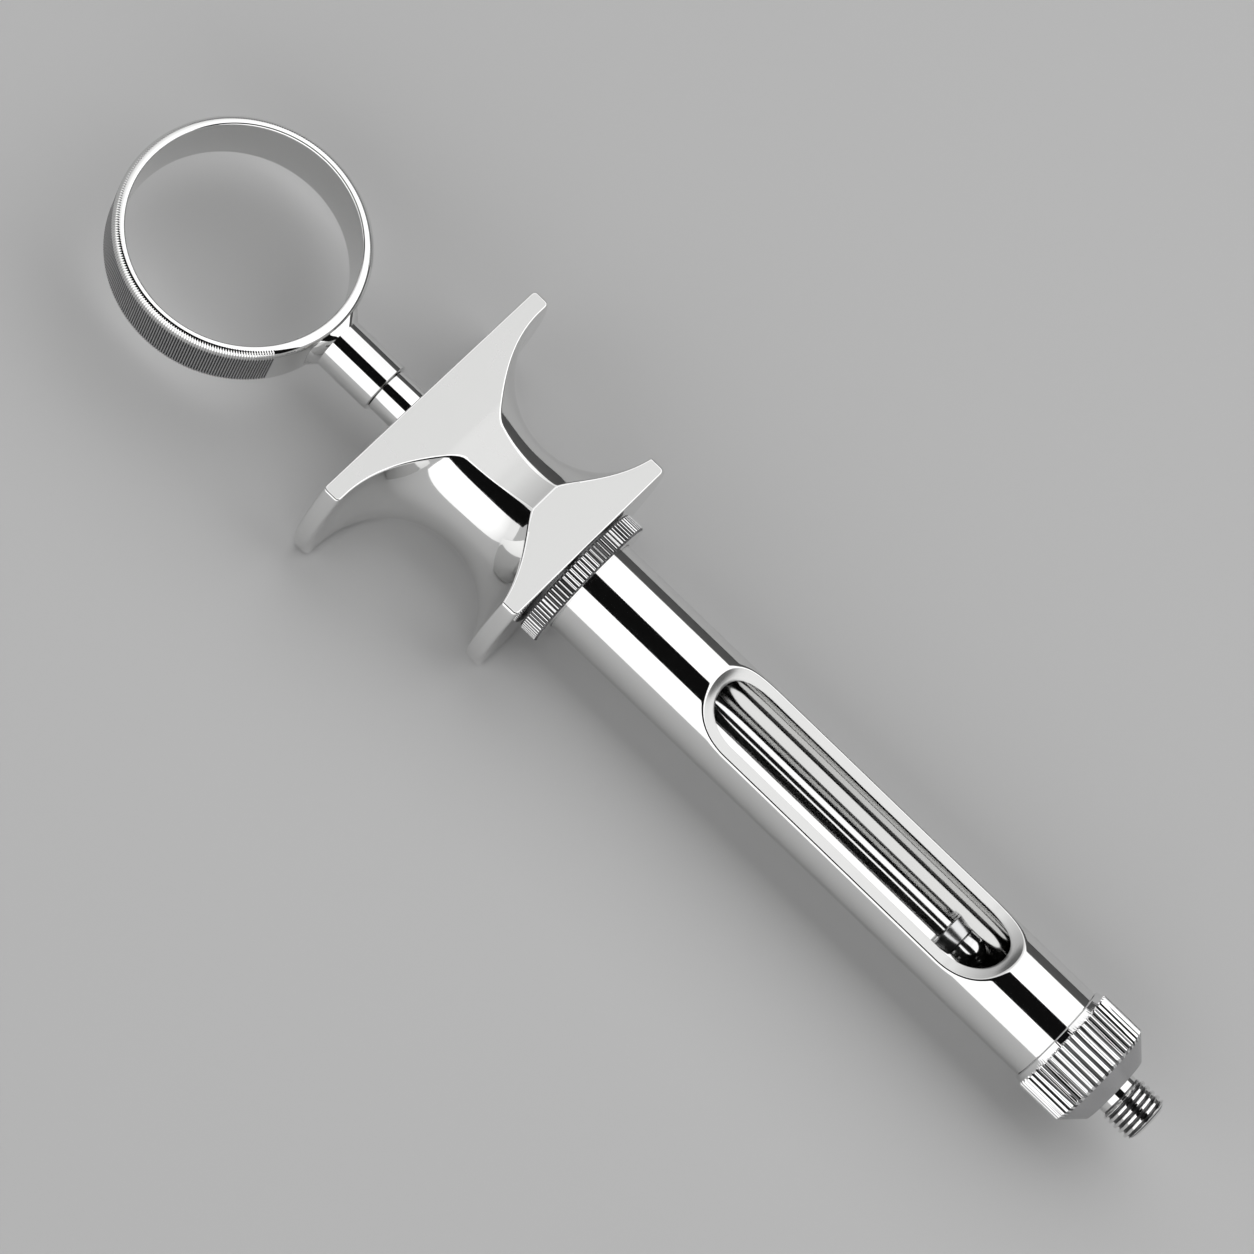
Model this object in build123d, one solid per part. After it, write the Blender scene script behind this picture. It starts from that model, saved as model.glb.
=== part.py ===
from build123d import *
import os
from math import cos, pi, sin, sqrt

# A dental aspirating syringe in polished steel, lying with its finger flats up. X runs along the
# axis towards the needle end, Z is square to the flats, the window and the thumb ring. The origin
# is on the axis at the middle of the needle thread. Sizes are millimetres.

# Clearances
running_gap = 0.05      # a shaft that turns or slides in its hole
sliding_gap = 0.10      # wider sliding fits of thin-walled pieces
seat_gap = 0.05         # faces that rest on each other across a joint
press_gap = 0.01        # pieces pressed or screwed home for good

# Cutters
cut_over = 1.0          # how far a cutter runs past the faces that it opens
cut_under = 0.2         # how far the knurling cut reaches below its grooves
crest_share = 0.2       # half the width of a ridge's crest, as a share of the pitch
same_place = 0.001      # two radii closer than this are the same

# Needle adaptor: the threaded tip, and the flange that the hub nut clamps
thread_radius = 2.65
thread_length = 3.3
thread_lead = 0.5
tip_radius = 1.85
neck_radius = 2.32
neck_length = 0.85
passage_radius = 0.8
adaptor_flange_inset = 0.25
adaptor_flange_thickness = 1.0
gasket_thickness = 1.0
gasket_hole_radius = 1.0

# Hub nut
nut_radius = 6.07
nut_length = 7.9
nut_ridges = 48
nut_ridge_depth = 0.3
nut_lip_length = 0.9
nut_lip_radius = 5.62
nut_cone_length = 2.15
nut_web = 2.05

# Barrel
barrel_radius = 5.5
bore_radius = 4.5
barrel_visible_length = 63.6
nose_step = 0.35
barrel_flange_thickness = 1.2

# Window: one flat cut across the barrel, its ends running out in the radius of the cutter
window_length = 40.3
window_front_land = 7.8
window_rim_height = 2.95
window_run_out_radius = 8.0

# Collar nut that holds the barrel in the grip
collar_radius = 7.7
collar_length = 2.2
collar_ridges = 90
collar_ridge_depth = 0.2
collar_edge = 0.2
collar_sleeve_wall = 0.95
collar_thread_length = 3.1
collar_stand_off = 0.2
washer_thickness = 0.5

# Finger grip
grip_rear_radius = 17.3
grip_front_radius = 13.4
waist_radius = 6.63
waist_from_front = 10.3
rear_flange_thickness = 1.98
rear_rim_depth = 1.1
front_hollow_radius = 8.68
flat_height = 7.4
dish_radius = 9.6
dish_floor = 6.33
dish_from_front = 10.7
dish_blend = 5.0
rim_round = 0.45

# Inside the grip
bush_radius = 4.0
packing_length = 2.0
packing_nut_length = 3.0
packing_nut_slot_width = 1.2
packing_nut_slot_depth = 0.9
chamber_radius = 4.9
follower_flange = 1.0
follower_length = 12.0
follower_pocket_radius = 2.6
follower_pocket_depth = 6.7
follower_edge = 0.2
retainer_thickness = 0.6
retainer_depth = 0.35
retainer_mouth = 4.0
retainer_back_off = 0.95
spring_wire = 0.7
spring_turns = 4.0
spring_room = 5.35

# Plunger
rod_radius = 1.15
rod_tail_radius = 0.95
rod_tail_length = 5.0
disc_radius = 2.0
disc_length = 2.0
disc_edge = 0.15
harpoon_radius = 1.85
harpoon_length = 2.95
harpoon_stem_radius = 0.6
harpoon_stem_length = 5.5
harpoon_from_seat = 17.85
sleeve_radius = 2.45
sleeve_length = 3.85
sleeve_edge = 0.15

# Thumb ring
ring_outer_radius = 13.17
ring_wall = 1.27
ring_width = 6.65
ring_round = 0.5
ferrule_radius = 2.885
ferrule_length = 7.13
ferrule_edge = 0.15
ferrule_hole_depth = 5.3
gusset_spread = 3.9
gusset_thickness = 5.0
gusset_root = 0.6

# Radii that follow the barrel's
nose_radius = barrel_radius - nose_step
adaptor_flange_radius = nose_radius - adaptor_flange_inset
collar_thread_radius = barrel_radius + sliding_gap + collar_sleeve_wall
barrel_flange_radius = collar_thread_radius - sliding_gap

# Stations along the axis, from the needle end back
seat_x = -(neck_length + thread_length / 2)
adaptor_flange_x = seat_x - nut_web - seat_gap
gasket_x = adaptor_flange_x - adaptor_flange_thickness
nose_x = gasket_x - gasket_thickness
nut_rear_x = seat_x - nut_length
shoulder_x = nut_rear_x - seat_gap
collar_front_x = nut_rear_x - barrel_visible_length
collar_rear_x = collar_front_x - collar_length
grip_front_x = collar_rear_x - collar_stand_off
waist_x = grip_front_x - waist_from_front
rear_hollow_radius = grip_rear_radius - rear_rim_depth - waist_radius
rear_face_x = waist_x - rear_hollow_radius
grip_rear_x = rear_face_x - rear_flange_thickness
collar_end_x = collar_rear_x - collar_stand_off - collar_thread_length
washer_x = collar_end_x - seat_gap
flange_x = washer_x - washer_thickness
socket_x = flange_x - barrel_flange_thickness
retainer_x = socket_x - retainer_back_off
follower_x = retainer_x - retainer_thickness - seat_gap
spring_front_x = follower_x - follower_flange
packing_nut_x = spring_front_x - spring_room
packing_x = packing_nut_x - packing_nut_length
bush_x = packing_x - packing_length
tip_of_harpoon_x = seat_x - harpoon_from_seat
disc_front_x = tip_of_harpoon_x - harpoon_length
disc_rear_x = disc_front_x - disc_length
sleeve_x = grip_rear_x - seat_gap
ferrule_x = sleeve_x - sleeve_length - seat_gap
ring_x = ferrule_x - ferrule_length - ring_outer_radius


def turned(*edges):
    """Revolves a closed outline of (station, radius) round the axis."""
    return revolve(make_face(Curve() + list(edges)), Axis.X)


def turned_corners(*corners):
    """A turned piece whose outline is all straight lines."""
    return revolve(make_face(Polyline(*corners, close=True)), Axis.X)


def tube(rear, front, outer, inner=0.0):
    """A length of tube or bar on the axis."""
    return turned_corners((rear, inner), (rear, outer), (front, outer), (front, inner))


def ridged_bar(rear, front, radius, depth, count):
    """A bar with straight ridges along it, as a straight knurling wheel leaves."""
    step = 2 * pi / count
    crest = crest_share * step
    corners = []
    for i in range(count):
        for turn, reach in ((-crest, radius), (crest, radius), (step / 2, radius - depth)):
            corners.append((reach * cos(i * step + turn), reach * sin(i * step + turn)))
    outline = make_face(Polyline(*corners, close=True))
    return Pos(rear, 0, 0) * extrude(Plane.YZ * outline, front - rear)


def knurled(blank, rear, front, radius, depth, count):
    """Cuts the grooves of a straight knurl into a turned blank."""
    skin = tube(rear, front, radius + cut_over, radius - depth - cut_under)
    return blank - (skin - ridged_bar(rear, front, radius, depth, count))


def needle_adaptor():
    """Threaded tip, plain neck, shank in the nut's web, clamped flange, needle passage."""
    shank = thread_radius + running_gap
    thread_rear = -thread_length / 2
    thread_front = thread_length / 2
    blank = turned_corners(
        (gasket_x, 0),
        (gasket_x, adaptor_flange_radius),
        (adaptor_flange_x, adaptor_flange_radius),
        (adaptor_flange_x, shank),
        (seat_x - seat_gap, shank),
        (seat_x - seat_gap, neck_radius),
        (thread_rear, neck_radius),
        (thread_rear, thread_radius),
        (thread_front, thread_radius),
        (thread_front + thread_lead, tip_radius),
        (thread_front + thread_lead, 0),
    )
    return blank - tube(gasket_x - cut_over, thread_front + thread_lead + cut_over, passage_radius)


def hub_gasket():
    """Soft washer between the adaptor's flange and the barrel's nose."""
    return tube(nose_x, gasket_x, adaptor_flange_radius, gasket_hole_radius)


def hub_nut():
    """Knurled union nut with a conical front; its web pulls the adaptor on to the barrel."""
    ridge_rear = nut_rear_x + nut_lip_length
    ridge_front = seat_x - nut_cone_length
    hole = thread_radius + 2 * running_gap
    blank = turned_corners(
        (nut_rear_x, 0),
        (nut_rear_x, nut_lip_radius),
        (ridge_rear, nut_radius),
        (ridge_front, nut_radius),
        (seat_x, nut_radius - nut_cone_length),
        (seat_x, 0),
    )
    nut = knurled(blank, ridge_rear, ridge_front, nut_radius, nut_ridge_depth, nut_ridges)
    nut -= tube(nut_rear_x - cut_over, seat_x - nut_web, nose_radius + running_gap)
    return nut - tube(seat_x - nut_web - cut_over, seat_x + cut_over, hole)


def window_cutter():
    """The space that the side cutter sweeps: a flat floor with run-out arcs at both ends."""
    front = nut_rear_x - window_front_land
    rear = front - window_length
    rise = barrel_radius - window_rim_height
    run_out = sqrt(2 * window_run_out_radius * rise - rise ** 2)
    flat_rear = rear + run_out
    flat_front = front - run_out
    centre_z = window_rim_height + window_run_out_radius
    half = run_out / 2
    half_z = centre_z - sqrt(window_run_out_radius ** 2 - half ** 2)
    over = barrel_radius + cut_over
    profile = Curve() + [
        ThreePointArc((rear, barrel_radius), (flat_rear - half, half_z), (flat_rear, window_rim_height)),
        Line((flat_rear, window_rim_height), (flat_front, window_rim_height)),
        ThreePointArc((flat_front, window_rim_height), (flat_front + half, half_z), (front, barrel_radius)),
        Polyline((front, barrel_radius), (front, over), (rear, over), (rear, barrel_radius)),
    ]
    return extrude(Plane.XZ * make_face(profile), over, both=True)


def barrel():
    """Tube for the cartridge, with a threaded nose, a rear flange and the window."""
    blank = turned_corners(
        (socket_x, 0),
        (socket_x, barrel_flange_radius),
        (flange_x, barrel_flange_radius),
        (flange_x, barrel_radius),
        (shoulder_x, barrel_radius),
        (shoulder_x, nose_radius),
        (nose_x, nose_radius),
        (nose_x, 0),
    )
    return blank - tube(socket_x - cut_over, nose_x + cut_over, bore_radius) - window_cutter()


def collar_washer():
    """Thin washer that lets the collar nut turn on the barrel's flange."""
    return tube(flange_x, washer_x, barrel_flange_radius, barrel_radius + sliding_gap)


def collar_nut():
    """Knurled ring with a threaded sleeve that holds the barrel's flange in the grip."""
    blank = turned_corners(
        (collar_end_x, 0),
        (collar_end_x, collar_thread_radius),
        (collar_rear_x, collar_thread_radius),
        (collar_rear_x, collar_radius - collar_edge),
        (collar_rear_x + collar_edge, collar_radius),
        (collar_front_x - collar_edge, collar_radius),
        (collar_front_x, collar_radius - collar_edge),
        (collar_front_x, 0),
    )
    ring = knurled(blank, collar_rear_x, collar_front_x, collar_radius, collar_ridge_depth, collar_ridges)
    return ring - tube(collar_end_x - cut_over, collar_front_x + cut_over, barrel_radius + sliding_gap)


def grip_outline():
    """Half section of the spool: a wide rear flange, a round hollow for the fingers, a front flange."""
    rear_z = waist_radius + rear_hollow_radius
    front_z = waist_radius + front_hollow_radius
    reach = sqrt(front_hollow_radius ** 2 - (front_z - grip_front_radius) ** 2)
    diagonal = sqrt(0.5)
    rear_mid = (waist_x - rear_hollow_radius * diagonal, rear_z - rear_hollow_radius * diagonal)
    half = reach / 2
    front_mid = (waist_x + half, front_z - sqrt(front_hollow_radius ** 2 - half ** 2))
    return make_face(Curve() + [
        Polyline(
            (waist_x + reach, grip_front_radius),
            (grip_front_x, grip_front_radius),
            (grip_front_x, 0),
            (grip_rear_x, 0),
            (grip_rear_x, grip_rear_radius),
            (rear_face_x, grip_rear_radius),
            (rear_face_x, rear_z),
        ),
        ThreePointArc((rear_face_x, rear_z), rear_mid, (waist_x, waist_radius)),
        ThreePointArc((waist_x, waist_radius), front_mid, (waist_x + reach, grip_front_radius)),
    ])


def on_a_rim(radius):
    """True for a radius that is the front or the rear flange's own."""
    return min(abs(radius - grip_front_radius), abs(radius - grip_rear_radius)) < same_place


def flat_cutter():
    """The space over one flat: level, dished at the waist, with the dish's rear edge blended."""
    dish_x = grip_front_x - dish_from_front
    reach = sqrt(dish_radius ** 2 - (dish_floor + dish_radius - flat_height) ** 2)
    top = grip_rear_radius + cut_over
    rear = grip_rear_x - cut_over
    front = grip_front_x + cut_over
    start = (dish_x - reach, flat_height)
    end = (dish_x + reach, flat_height)
    space = make_face(Curve() + [
        ThreePointArc(start, (dish_x, dish_floor), end),
        Polyline(end, (front, flat_height), (front, top), (rear, top), (rear, flat_height), start),
    ])
    rear_edge = space.vertices().sort_by_distance(start)[0]
    return extrude(Plane.XZ * fillet(rear_edge, dish_blend), top, both=True)


def finger_grip():
    """One turned spool with two milled flats, dished at the waist, bored out from both ends."""
    section = grip_outline()
    rims = [v for v in section.vertices() if on_a_rim(v.Y)]
    grip = revolve(fillet(rims, rim_round), Axis.X)
    upper = flat_cutter()
    grip = grip - upper - mirror(upper, Plane.XY)
    grip -= tube(grip_rear_x - cut_over, packing_x + cut_over, bush_radius + press_gap)
    grip -= tube(packing_x, socket_x + cut_over, chamber_radius)
    grip -= tube(socket_x, grip_front_x + cut_over, collar_thread_radius + running_gap)
    groove_rear = retainer_x - retainer_thickness - press_gap
    groove = tube(groove_rear, retainer_x + press_gap, chamber_radius + retainer_depth)
    return grip - groove


def guide_bush():
    """Plain bearing for the rod, pressed into the grip's rear."""
    return tube(grip_rear_x, bush_x, bush_radius, rod_radius + running_gap)


def rod_packing():
    """Soft ring that gives the rod its drag."""
    return tube(bush_x, packing_x, bush_radius, rod_radius + running_gap / 2)


def packing_nut():
    """Slotted nut that holds the packing and the spring."""
    nut = tube(packing_x, packing_nut_x, chamber_radius - press_gap, rod_radius + 2 * running_gap)
    slot_x = packing_nut_x - packing_nut_slot_depth / 2
    slot = Box(packing_nut_slot_depth, 2 * chamber_radius + cut_over, packing_nut_slot_width)
    return nut - Pos(slot_x, 0, 0) * slot


def follower_spring():
    """Short coil spring that presses the follower on to the cartridge."""
    height = spring_front_x - packing_nut_x - spring_wire - 2 * seat_gap
    radius = chamber_radius - running_gap - spring_wire
    coil = Helix(height / spring_turns, height, radius)
    wire = Plane(coil @ 0, z_dir=coil % 0) * Circle(spring_wire / 2)
    start = packing_nut_x + seat_gap + spring_wire / 2
    return Pos(start, 0, 0) * (Rot(0, 90, 0) * sweep(wire, path=coil))


def retaining_ring():
    """Snap ring in the grip's groove, in front of the follower's flange."""
    rear = retainer_x - retainer_thickness
    outer = chamber_radius + retainer_depth - press_gap
    ring = tube(rear, retainer_x, outer, bore_radius)
    mouth = Box(2 * retainer_thickness + cut_over, retainer_mouth, 2 * chamber_radius)
    return ring - Pos(retainer_x, 0, -chamber_radius) * mouth


def cartridge_follower():
    """Cup that seats the cartridge's open end and guides the rod; its web stops the disc."""
    nose = bore_radius - sliding_gap
    front = follower_x + follower_length
    blank = turned_corners(
        (spring_front_x, 0),
        (spring_front_x, chamber_radius - sliding_gap),
        (follower_x, chamber_radius - sliding_gap),
        (follower_x, nose),
        (front - follower_edge, nose),
        (front, nose - follower_edge),
        (front, 0),
    )
    pocket = tube(front - follower_pocket_depth, front + cut_over, follower_pocket_radius)
    return blank - pocket - tube(spring_front_x - cut_over, front + cut_over, rod_radius + 2 * running_gap)


def plunger_rod():
    """Slim rod with a threaded tail for the thumb ring and a tapped end for the harpoon."""
    rod = turned_corners(
        (ferrule_x - rod_tail_length, 0),
        (ferrule_x - rod_tail_length, rod_tail_radius),
        (sleeve_x, rod_tail_radius),
        (sleeve_x, rod_radius),
        (disc_rear_x, rod_radius),
        (disc_rear_x, 0),
    )
    hole_end = disc_front_x - harpoon_stem_length - seat_gap
    return rod - tube(hole_end, disc_rear_x + cut_over, harpoon_stem_radius + press_gap)


def stop_sleeve():
    """Sleeve on the rod's tail that meets the grip when the plunger is fully pressed."""
    rear = sleeve_x - sleeve_length
    blank = turned_corners(
        (rear, 0),
        (rear, sleeve_radius - sleeve_edge),
        (rear + sleeve_edge, sleeve_radius),
        (sleeve_x, sleeve_radius),
        (sleeve_x, 0),
    )
    return blank - tube(rear - cut_over, sleeve_x + cut_over, rod_tail_radius + press_gap)


def piston_disc():
    """Disc that bears on the cartridge's stopper."""
    blank = turned_corners(
        (disc_rear_x, 0),
        (disc_rear_x, disc_radius - disc_edge),
        (disc_rear_x + disc_edge, disc_radius),
        (disc_front_x - disc_edge, disc_radius),
        (disc_front_x, disc_radius - disc_edge),
        (disc_front_x, 0),
    )
    return blank - tube(disc_rear_x - cut_over, disc_front_x + cut_over, harpoon_stem_radius + press_gap)


def harpoon():
    """Rounded barb on a screwed stem."""
    dome = EllipticalCenterArc((disc_front_x, 0), harpoon_length, harpoon_radius, start_angle=0, arc_size=90)
    base = Polyline((disc_front_x, harpoon_radius), (disc_front_x, 0), (tip_of_harpoon_x, 0))
    stem = tube(disc_front_x - harpoon_stem_length, disc_front_x, harpoon_stem_radius)
    return turned(dome, base) + stem


def thumb_ring():
    """Ring, gusset and ferrule in one piece; the ferrule is tapped for the rod's tail."""
    middle = ring_outer_radius - ring_wall / 2
    band = Pos(middle, 0) * Rectangle(ring_wall, ring_width)
    section = fillet(band.vertices(), ring_round)
    ring = Pos(ring_x, 0, 0) * revolve(Plane.XZ * section, Axis.Z)
    root_x = ring_x + middle
    ferrule = turned_corners(
        (root_x, 0),
        (root_x, ferrule_radius),
        (ferrule_x - ferrule_edge, ferrule_radius),
        (ferrule_x, ferrule_radius - ferrule_edge),
        (ferrule_x, 0),
    )
    spread_x = ring_x + sqrt(middle ** 2 - gusset_spread ** 2)
    corner_x = ring_x + ring_outer_radius + gusset_root
    gusset = make_face(Polyline(
        (corner_x, ferrule_radius), (spread_x, gusset_spread), (spread_x, -gusset_spread),
        (corner_x, -ferrule_radius), close=True,
    ))
    web = extrude(gusset, gusset_thickness / 2, both=True)
    web -= Pos(ring_x, 0, 0) * Cylinder(middle, ring_width)
    ferrule -= Pos(ring_x, 0, 0) * Cylinder(middle, ring_width)
    hole = tube(ferrule_x - ferrule_hole_depth, ferrule_x + cut_over, rod_tail_radius + running_gap)
    return ring + web + ferrule - hole


nodes = {
    "thumb_ring": thumb_ring,
    "stop_sleeve": stop_sleeve,
    "plunger_rod": plunger_rod,
    "piston_disc": piston_disc,
    "harpoon": harpoon,
    "finger_grip": finger_grip,
    "guide_bush": guide_bush,
    "rod_packing": rod_packing,
    "packing_nut": packing_nut,
    "follower_spring": follower_spring,
    "retaining_ring": retaining_ring,
    "cartridge_follower": cartridge_follower,
    "collar_nut": collar_nut,
    "collar_washer": collar_washer,
    "barrel": barrel,
    "hub_gasket": hub_gasket,
    "needle_adaptor": needle_adaptor,
    "hub_nut": hub_nut,
}

os.makedirs("parts", exist_ok=True)
for name, make in nodes.items():
    export_step(make(), f"parts/{name}.step")
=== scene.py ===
from math import acos, asin, atan2, cos, pi, radians, sin, sqrt, tan

import bmesh
import bpy
from mathutils import Matrix, Vector


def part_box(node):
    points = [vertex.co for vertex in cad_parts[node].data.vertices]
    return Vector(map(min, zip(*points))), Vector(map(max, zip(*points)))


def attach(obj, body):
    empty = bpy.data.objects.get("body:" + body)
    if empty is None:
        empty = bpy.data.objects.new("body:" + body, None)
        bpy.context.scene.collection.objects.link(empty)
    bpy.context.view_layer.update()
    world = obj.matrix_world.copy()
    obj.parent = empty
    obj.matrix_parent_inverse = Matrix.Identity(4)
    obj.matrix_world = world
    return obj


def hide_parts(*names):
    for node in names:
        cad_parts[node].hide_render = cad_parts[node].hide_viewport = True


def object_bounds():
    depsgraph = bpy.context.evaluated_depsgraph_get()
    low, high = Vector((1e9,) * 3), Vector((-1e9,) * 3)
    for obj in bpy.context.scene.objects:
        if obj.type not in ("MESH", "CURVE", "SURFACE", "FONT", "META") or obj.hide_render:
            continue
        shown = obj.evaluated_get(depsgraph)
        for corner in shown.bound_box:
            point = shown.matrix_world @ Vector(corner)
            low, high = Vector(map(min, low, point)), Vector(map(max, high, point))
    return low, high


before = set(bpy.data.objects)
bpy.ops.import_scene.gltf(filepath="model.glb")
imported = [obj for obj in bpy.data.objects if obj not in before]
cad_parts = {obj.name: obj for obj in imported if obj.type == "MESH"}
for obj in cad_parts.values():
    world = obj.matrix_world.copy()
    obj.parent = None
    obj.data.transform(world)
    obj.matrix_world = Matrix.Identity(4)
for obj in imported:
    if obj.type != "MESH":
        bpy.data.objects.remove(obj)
cad_low, cad_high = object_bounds()
mm = 0.001

# The table and the backdrop: a plain pale board under the syringe, and a pale room round it.
# The board lies just under the collar and the flats, which the syringe rests on.
table_gap = 0.02 * mm
table_reach = 6.0
table_tone = (0.52, 0.52, 0.52, 1.0)
mottle_tone = (0.5044, 0.5044, 0.5044, 1.0)
room_tone = (0.56, 0.56, 0.56, 1.0)

bpy.ops.object.select_all(action="DESELECT")
bpy.ops.mesh.primitive_grid_add(
    x_subdivisions=8, y_subdivisions=8, size=table_reach, location=(0, 0, cad_low.z - table_gap))
table = bpy.context.object
table.name = "table"
board = bpy.data.materials.new("table_board")
board.use_nodes = True
nodes = board.node_tree.nodes
links = board.node_tree.links
shader = nodes["Principled BSDF"]
shader.inputs["Roughness"].default_value = 0.6
where = nodes.new("ShaderNodeTexCoord")
mottle = nodes.new("ShaderNodeTexNoise")
mottle.inputs["Scale"].default_value = 3.0
mottle.inputs["Detail"].default_value = 4.0
blend = nodes.new("ShaderNodeMix")
blend.data_type = "RGBA"
blend.inputs["A"].default_value = table_tone
blend.inputs["B"].default_value = mottle_tone
links.new(where.outputs["Object"], mottle.inputs["Vector"])
links.new(mottle.outputs["Fac"], blend.inputs["Factor"])
links.new(blend.outputs["Result"], shader.inputs["Base Color"])
table.data.materials.append(board)

world = bpy.data.worlds.new("room")
bpy.context.scene.world = world
world.use_nodes = True
world.node_tree.nodes["Background"].inputs["Color"].default_value = room_tone
world.node_tree.nodes["Background"].inputs["Strength"].default_value = 1.0
bpy.context.scene.view_settings.view_transform = "Standard"

# The lights: two long soft boxes beside the syringe's axis, a dark card in the gap between them and a
# darker one low on the right. Angles are from straight up, positive towards +Y, across the axis. A
# box's tones are pairs of a place along the axis and a share of its brightness.
light_distance = 1.15
light_length = 5.2
boxes = {
    "left_box": {"start": -93.0, "end": -37.0, "brightness": 0.96, "low_edge": 0.8,
                 "tones": ((-1.6, 0.5), (-0.8, 0.9), (-0.3, 1.0))},
    "right_box": {"start": 2.0, "end": 63.0, "brightness": 0.96, "low_edge": 0.94,
                  "tones": ((-1.6, 0.3), (-0.75, 0.62), (-0.36, 0.96), (-0.26, 0.78), (-0.2, 0.82),
                            (-0.14, 1.0))},
}
tones_from = -2.0
cards = {
    "gap_card": {"start": -37.0, "end": 2.0, "distance": 1.0, "tone": 0.01},
    "low_card": {"start": 64.0, "end": 91.0, "distance": 1.0, "tone": 0.16},
}


def across_axis(angle, distance):
    """A point beside the axis, above the middle of the syringe."""
    middle = (cad_low.x + cad_high.x) / 2
    return Vector((middle, distance * sin(radians(angle)), distance * cos(radians(angle))))


def facing(centre):
    """Three directions for a panel that faces the axis: along it, up its face, and away from it."""
    away = Vector((0, centre.y, centre.z)).normalized()
    beside = Vector((1, 0, 0))
    return beside, away.cross(beside), away


def box_middle(box):
    """Angle of the middle of a light or a card."""
    return (box["start"] + box["end"]) / 2


for name, box in boxes.items():
    width = 2 * light_distance * tan(radians(box["end"] - box["start"]) / 2)
    lamp = bpy.data.lights.new(name, "AREA")
    lamp.shape = "RECTANGLE"
    lamp.size = light_length
    lamp.size_y = width
    lamp.energy = box["brightness"] * pi * light_length * width
    holder = bpy.data.objects.new(name, lamp)
    bpy.context.scene.collection.objects.link(holder)
    centre = across_axis(box_middle(box), light_distance)
    holder.location = centre
    holder.rotation_euler = Matrix(facing(centre)).transposed().to_euler()
    holder.visible_camera = False
    lamp.use_nodes = True
    made = lamp.node_tree.nodes
    join = lamp.node_tree.links.new
    where = made.new("ShaderNodeNewGeometry")
    split = made.new("ShaderNodeSeparateXYZ")
    join(where.outputs["Position"], split.inputs["Vector"])
    along = made.new("ShaderNodeMapRange")
    along.inputs["From Min"].default_value = tones_from
    along.inputs["From Max"].default_value = 0.0
    join(split.outputs["X"], along.inputs["Value"])
    fade = made.new("ShaderNodeValToRGB")
    steps = fade.color_ramp.elements
    while len(steps) < len(box["tones"]):
        steps.new(1.0)
    for step, (place, tone) in zip(steps, box["tones"]):
        step.position = 1 - place / tones_from
        step.color = (tone, tone, tone, 1.0)
    join(along.outputs["Result"], fade.inputs["Fac"])
    height = made.new("ShaderNodeMapRange")
    height.inputs["From Min"].default_value = 0.0
    height.inputs["From Max"].default_value = light_distance * cos(radians(box_middle(box)))
    height.inputs["To Min"].default_value = box["low_edge"]
    height.inputs["To Max"].default_value = 1.0
    join(split.outputs["Z"], height.inputs["Value"])
    both = made.new("ShaderNodeMath")
    both.operation = "MULTIPLY"
    join(fade.outputs["Color"], both.inputs[0])
    join(height.outputs["Result"], both.inputs[1])
    join(both.outputs["Value"], made["Emission"].inputs["Strength"])

for name, card in cards.items():
    bpy.ops.object.select_all(action="DESELECT")
    bpy.ops.mesh.primitive_plane_add(size=1)
    panel = bpy.context.object
    panel.name = name
    width = 2 * card["distance"] * tan(radians(card["end"] - card["start"]) / 2)
    centre = across_axis(box_middle(card), card["distance"])
    beside, up_face, away = facing(centre)
    for vertex in panel.data.vertices:
        vertex.co = centre + beside * vertex.co.x * light_length + up_face * vertex.co.y * width
    panel.visible_camera = False
    cloth = bpy.data.materials.new(name + "_cloth")
    cloth.use_nodes = True
    matt = cloth.node_tree.nodes["Principled BSDF"].inputs
    matt["Base Color"].default_value = (card["tone"], card["tone"], card["tone"], 1.0)
    matt["Roughness"].default_value = 1.0
    matt["Specular IOR Level"].default_value = 0.0
    panel.data.materials.append(cloth)

# The camera looks down on the syringe from 25 degrees off the vertical, turned so that the axis
# runs from the upper left to the lower right.
lean = radians(25)
turn = radians(43.95)
camera_distance = 490 * mm
above_x = -43.5 * mm
aim_x = -68.5 * mm
aim_aside = -0.4 * mm
lens = 142.6

to_camera = Vector((0, -sin(lean), cos(lean)))
aside = Vector((0, cos(lean), sin(lean)))
eye = Vector((above_x, 0, 0)) + to_camera * camera_distance
aim = Vector((aim_x, 0, 0)) + aside * aim_aside
back = (eye - aim).normalized()
up = Vector((-sin(turn), 0, 0)) + aside * cos(turn)
up = (up - back * up.dot(back)).normalized()
camera = bpy.data.objects.new("camera", bpy.data.cameras.new("camera"))
bpy.context.scene.collection.objects.link(camera)
camera.matrix_world = Matrix.Translation(eye) @ Matrix((up.cross(back), up, back)).transposed().to_4x4()
camera.data.lens = lens
camera.data.sensor_width = 36
camera.data.clip_start = 0.01
bpy.context.scene.camera = camera

# The thumb ring: a turned band with rounded rims and a fine straight knurl outside, brazed on to a
# short tapped ferrule through a small gusset. It is polished stainless steel, dull on the knurl, and
# screws on to the rod's tail.
ring_low, ring_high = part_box("thumb_ring")
ring_outer = ring_high.y
ring_wall = 1.27 * mm
ring_inner = ring_outer - ring_wall
ring_half = ring_high.z
ring_centre = Vector((ring_low.x + ring_outer, 0, 0))
outer_round = 0.92 * mm
inner_round = 0.3 * mm
round_steps = 8
ring_lines = 300
line_points = 4
line_depth = 0.09 * mm
line_run_in = 0.45
plain_angle = radians(33)
ferrule_radius = 2.885 * mm
ferrule_hole = 1.0 * mm
ferrule_edge = 0.13 * mm
tapped_depth = 5.3 * mm
gusset_spread = 3.9 * mm
gusset_half = 2.85 * mm
gusset_root = 0.6 * mm
gusset_edge = 0.12 * mm


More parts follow.
